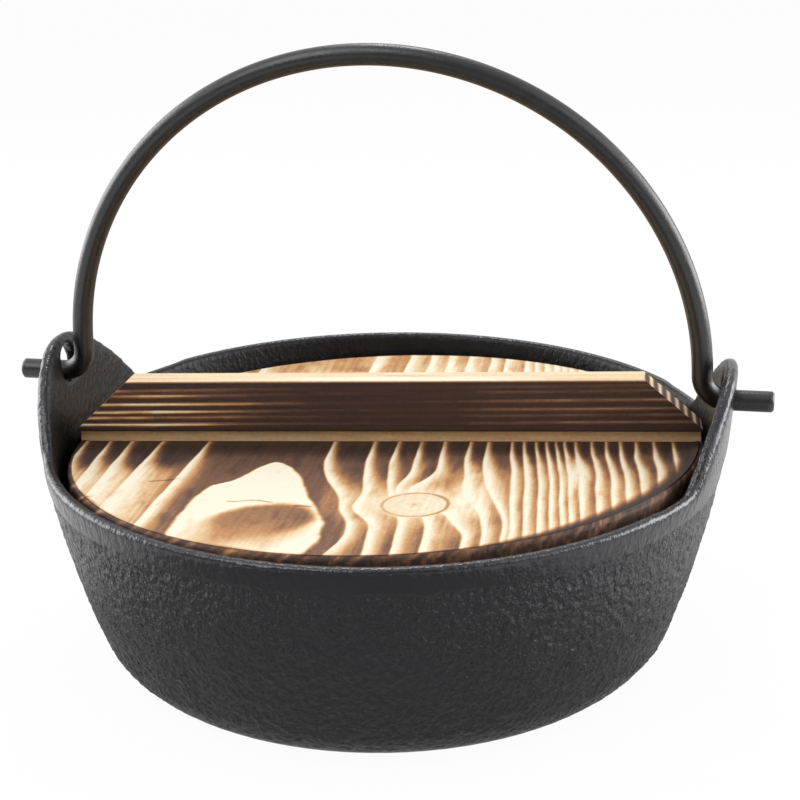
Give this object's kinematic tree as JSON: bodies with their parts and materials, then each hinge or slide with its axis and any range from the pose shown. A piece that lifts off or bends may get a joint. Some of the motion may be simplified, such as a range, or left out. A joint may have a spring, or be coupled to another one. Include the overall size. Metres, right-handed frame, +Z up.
{
  "type": "cast iron hot pot with bail handle and wooden lid",
  "caption": "Round flared cast-iron pot with two pierced ears, a swinging round-rod bail and a drop-in burnt-wood lid gripped by a thick dovetailed cross batten.",
  "frame": {"origin": "centre of the flat base, on the ground", "axes": "+X along the bail pivot through the two ears, -Y the front, +Z up"},
  "size_m": [0.281, 0.2496, 0.2223],
  "materials": {
    "cast_iron": "seasoned satin black casting skin",
    "black_rod": "blackened smooth steel rod",
    "burnt_board": "burnt and brushed cedar",
    "burnt_batten": "dark burnt and brushed cedar"
  },
  "bodies": {
    "pot": {"pot_body": "cast_iron"},
    "bail": {"bail_handle": "black_rod"},
    "lid": {"lid_board_left": "burnt_board", "lid_board_right": "burnt_board", "lid_batten": "burnt_batten"}
  },
  "joints": [
    {"name": "bail_swing", "type": "hinge", "parent": "pot", "child": "bail", "pos_m": [0, 0, 0.0974], "axis": [1, 0, 0], "range_deg": [-101, 90]},
    {"name": "lid_turn", "type": "hinge", "parent": "pot", "child": "lid", "pos_m": [0.00031, -0.00036, 0.0767], "axis": [-0.0293, 0.0337, 0.999], "continuous": true}
  ]
}
